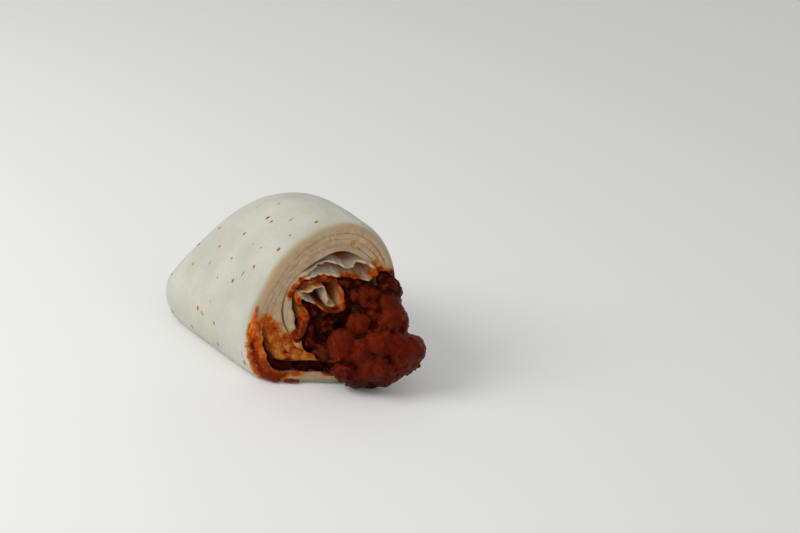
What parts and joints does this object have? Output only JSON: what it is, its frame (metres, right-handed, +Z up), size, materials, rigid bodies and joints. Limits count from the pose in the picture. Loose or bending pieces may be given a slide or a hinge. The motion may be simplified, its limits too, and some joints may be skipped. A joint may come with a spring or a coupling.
{
  "type": "chili con carne wrap half",
  "caption": "Half of a rolled flatbread wrap, cut across at a slant, with minced meat chili spilling out of the cut end.",
  "frame": {"origin": "on the table under the middle of the part's bounding box", "axes": "+X along the roll towards the cut end, +Y to the right seen from the cut end, +Z up"},
  "size_m": [0.1108, 0.0658, 0.0668],
  "materials": {
    "flatbread": "soft matte baked flatbread, floury, with small toasted spots",
    "chili_sauce": "moist dark red sauce over minced meat"
  },
  "bodies": {
    "root": {"tortilla": "flatbread", "chili": "chili_sauce"}
  },
  "joints": []
}
